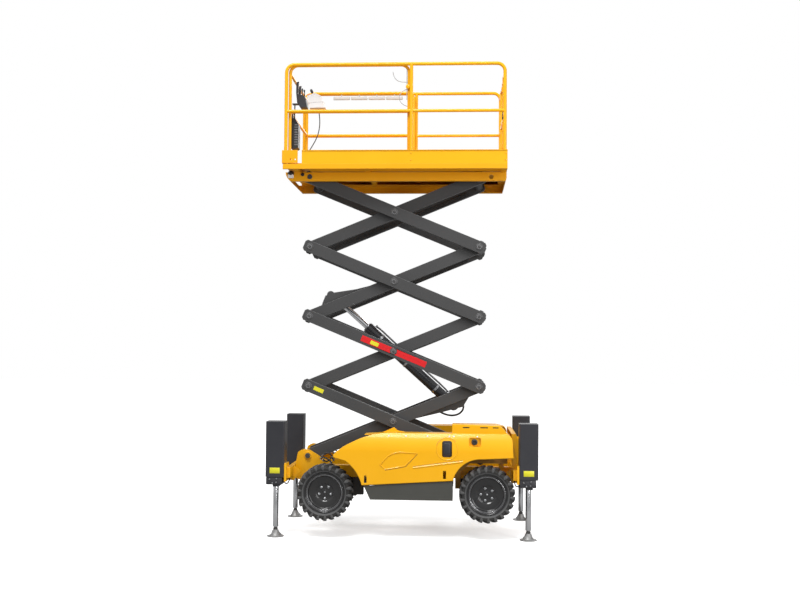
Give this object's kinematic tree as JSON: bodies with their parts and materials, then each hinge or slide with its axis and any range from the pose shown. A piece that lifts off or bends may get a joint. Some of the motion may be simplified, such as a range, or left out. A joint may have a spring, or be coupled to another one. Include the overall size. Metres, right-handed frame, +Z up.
{
  "type": "rough-terrain scissor lift",
  "caption": "Self-propelled scissor lift with a crossed-arm mast, railed sliding-deck platform, steered wheels and levelling jacks.",
  "frame": {"origin": "on the floor, at the centre of the box around the whole machine", "axes": "+Z up, +X towards the ladder end, -X towards the steered wheels and the sliding deck extension"},
  "size_m": [3.17, 1.8016, 5.618],
  "materials": {
    "yellow_paint": "gloss",
    "arm_grey": "satin",
    "dark_grey": "matte",
    "black_steel": "matte",
    "black_cover": "satin",
    "chrome": "polished",
    "tyre": "matte",
    "rim_black": "gloss",
    "light_plastic": "matte",
    "dark_plastic": "matte"
  },
  "bodies": {
    "chassis": {"arch_liners": "yellow_paint", "cross_members": "yellow_paint", "engine_block": "black_steel", "frame_rails": "yellow_paint", "front_axle": "black_steel", "hood_tops": "yellow_paint", "jack_boxes": "black_cover", "ladder": "yellow_paint", "manifolds": "black_steel", "rear_axle": "black_steel", "rear_cover": "yellow_paint", "sills": "dark_grey", "slide_guides": "yellow_paint"},
    "inner_arm_1": {"inner_arm_1": "arm_grey"},
    "outer_arm_1": {"outer_arm_1": "arm_grey"},
    "inner_arm_2": {"inner_arm_2": "arm_grey"},
    "outer_arm_2": {"outer_arm_2": "arm_grey"},
    "inner_arm_3": {"inner_arm_3": "arm_grey"},
    "outer_arm_3": {"outer_arm_3": "arm_grey"},
    "inner_arm_4": {"inner_arm_4": "arm_grey"},
    "outer_arm_4": {"outer_arm_4": "arm_grey"},
    "cylinder_barrel": {"cylinder_barrel": "black_cover"},
    "cylinder_rod": {"cylinder_rod": "chrome"},
    "platform": {"platform_deck": "yellow_paint", "toe_boards": "yellow_paint", "guard_rails": "yellow_paint"},
    "extension": {"extension_deck": "yellow_paint", "extension_rails": "yellow_paint", "control_box": "light_plastic", "control_guard": "dark_plastic", "document_box": "dark_plastic", "control_cable": "dark_plastic"},
    "gate": {"gate": "yellow_paint"},
    "knuckle_left": {"knuckle_left": "black_steel"},
    "side_door_left": {"side_door_left": "yellow_paint"},
    "knuckle_right": {"knuckle_right": "black_steel"},
    "side_door_right": {"side_door_right": "yellow_paint"},
    "tie_rod": {"tie_rod": "black_steel"},
    "wheel_front_left": {"rim_front_left": "rim_black", "tyre_front_left": "tyre"},
    "jack_leg_front_left": {"jack_leg_front_left": "chrome"},
    "wheel_front_right": {"rim_front_right": "rim_black", "tyre_front_right": "tyre"},
    "jack_leg_front_right": {"jack_leg_front_right": "chrome"},
    "wheel_rear_left": {"rim_rear_left": "rim_black", "tyre_rear_left": "tyre"},
    "jack_leg_rear_left": {"jack_leg_rear_left": "chrome"},
    "wheel_rear_right": {"rim_rear_right": "rim_black", "tyre_rear_right": "tyre"},
    "jack_leg_rear_right": {"jack_leg_rear_right": "chrome"}
  },
  "joints": [
    {"name": "lift", "type": "hinge", "parent": "chassis", "child": "inner_arm_1", "pos_m": [-1.15, 0, 0.912], "axis": [0, -1, 0], "range_deg": [-17.8, 39.7]},
    {"name": "cross_1", "type": "hinge", "parent": "inner_arm_1", "child": "outer_arm_1", "pos_m": [-0.12302, 0, 1.3332], "axis": [0, -1, 0], "range_deg": [-79.9, 36.1]},
    {"name": "right_1", "type": "hinge", "parent": "inner_arm_1", "child": "outer_arm_2", "pos_m": [0.90397, 0, 1.75439], "axis": [0, -1, 0], "range_deg": [-79.9, 36.1]},
    {"name": "cross_2", "type": "hinge", "parent": "outer_arm_2", "child": "inner_arm_2", "pos_m": [-0.12302, 0, 2.17559], "axis": [0, -1, 0], "range_deg": [-36.1, 79.9]},
    {"name": "left_2", "type": "hinge", "parent": "outer_arm_2", "child": "inner_arm_3", "pos_m": [-1.15, 0, 2.59679], "axis": [0, -1, 0], "range_deg": [-36.1, 79.9]},
    {"name": "cross_3", "type": "hinge", "parent": "inner_arm_3", "child": "outer_arm_3", "pos_m": [-0.12302, 0, 3.01798], "axis": [0, -1, 0], "range_deg": [-79.9, 36.1]},
    {"name": "right_3", "type": "hinge", "parent": "inner_arm_3", "child": "outer_arm_4", "pos_m": [0.90397, 0, 3.43918], "axis": [0, -1, 0], "range_deg": [-79.9, 36.1]},
    {"name": "cross_4", "type": "hinge", "parent": "outer_arm_4", "child": "inner_arm_4", "pos_m": [-0.12302, 0, 3.86037], "axis": [0, -1, 0], "range_deg": [-36.1, 79.9]},
    {"name": "platform_pivot", "type": "hinge", "parent": "outer_arm_4", "child": "platform", "pos_m": [-1.15, 0, 4.28157], "axis": [0, -1, 0], "range_deg": [-18.3, 40.2]},
    {"name": "cylinder_base", "type": "hinge", "parent": "inner_arm_1", "child": "cylinder_barrel", "pos_m": [0.59984, 0, 1.51293], "axis": [0, -1, 0], "range_deg": [-75.14, 33.96]},
    {"name": "cylinder_stroke", "type": "slide", "parent": "cylinder_barrel", "child": "cylinder_rod", "axis": [-0.7449, 0, 0.6672], "range_m": [-0.4027, 0.8919]},
    {"name": "steer", "type": "hinge", "parent": "chassis", "child": "knuckle_left", "pos_m": [-0.893, 0.6, 0.525], "axis": [0, 0, 1], "range_deg": [-28, 28]},
    {"name": "steer_right", "type": "hinge", "parent": "chassis", "child": "knuckle_right", "pos_m": [-0.893, -0.6, 0.525], "axis": [0, 0, 1], "range_deg": [-28.5, 28.5]},
    {"name": "tie_rod_end", "type": "hinge", "parent": "knuckle_left", "child": "tie_rod", "pos_m": [-0.728, 0.572, 0.484], "axis": [0, 0, 1], "range_deg": [-28.5, 28.5]},
    {"name": "wheel_front_left_spin", "type": "hinge", "parent": "knuckle_left", "child": "wheel_front_left", "pos_m": [-0.893, 0.75, 0.525], "axis": [0, 1, 0], "continuous": true},
    {"name": "wheel_front_right_spin", "type": "hinge", "parent": "knuckle_right", "child": "wheel_front_right", "pos_m": [-0.893, -0.75, 0.525], "axis": [0, 1, 0], "continuous": true},
    {"name": "wheel_rear_left_spin", "type": "hinge", "parent": "chassis", "child": "wheel_rear_left", "pos_m": [0.997, 0.75, 0.525], "axis": [0, 1, 0], "continuous": true},
    {"name": "wheel_rear_right_spin", "type": "hinge", "parent": "chassis", "child": "wheel_rear_right", "pos_m": [0.997, -0.75, 0.525], "axis": [0, 1, 0], "continuous": true},
    {"name": "jack_front_left", "type": "slide", "parent": "chassis", "child": "jack_leg_front_left", "axis": [0, 0, -1], "range_m": [-0.4, 0.08]},
    {"name": "jack_front_right", "type": "slide", "parent": "chassis", "child": "jack_leg_front_right", "axis": [0, 0, -1], "range_m": [-0.4, 0.08]},
    {"name": "jack_rear_left", "type": "slide", "parent": "chassis", "child": "jack_leg_rear_left", "axis": [0, 0, -1], "range_m": [-0.4, 0.08]},
    {"name": "jack_rear_right", "type": "slide", "parent": "chassis", "child": "jack_leg_rear_right", "axis": [0, 0, -1], "range_m": [-0.4, 0.08]},
    {"name": "extension_slide", "type": "slide", "parent": "platform", "child": "extension", "axis": [-1, 0, 0], "range_m": [0, 0.92]},
    {"name": "gate_hinge", "type": "hinge", "parent": "platform", "child": "gate", "pos_m": [1.196, -0.4, 5], "axis": [0, 0, 1], "range_deg": [0, 90]},
    {"name": "door_left", "type": "hinge", "parent": "chassis", "child": "side_door_left", "pos_m": [0.2, 0.797, 1.216], "axis": [1, 0, 0], "range_deg": [0, 75]},
    {"name": "door_right", "type": "hinge", "parent": "chassis", "child": "side_door_right", "pos_m": [0.2, -0.797, 1.216], "axis": [-1, 0, 0], "range_deg": [0, 75]}
  ],
  "couplings": [
    {"joint": "cross_1", "follows": "lift", "ratio": -2},
    {"joint": "right_1", "follows": "lift", "ratio": -2},
    {"joint": "cross_2", "follows": "lift", "ratio": 2},
    {"joint": "left_2", "follows": "lift", "ratio": 2},
    {"joint": "cross_3", "follows": "lift", "ratio": -2},
    {"joint": "right_3", "follows": "lift", "ratio": -2},
    {"joint": "cross_4", "follows": "lift", "ratio": 2},
    {"joint": "platform_pivot", "follows": "lift", "ratio": 1},
    {"joint": "cylinder_base", "follows": "lift", "ratio": -1.88},
    {"joint": "cylinder_stroke", "follows": "lift", "m_per_rad": 1.28},
    {"joint": "steer_right", "follows": "steer", "ratio": 1},
    {"joint": "tie_rod_end", "follows": "steer", "ratio": -1}
  ]
}
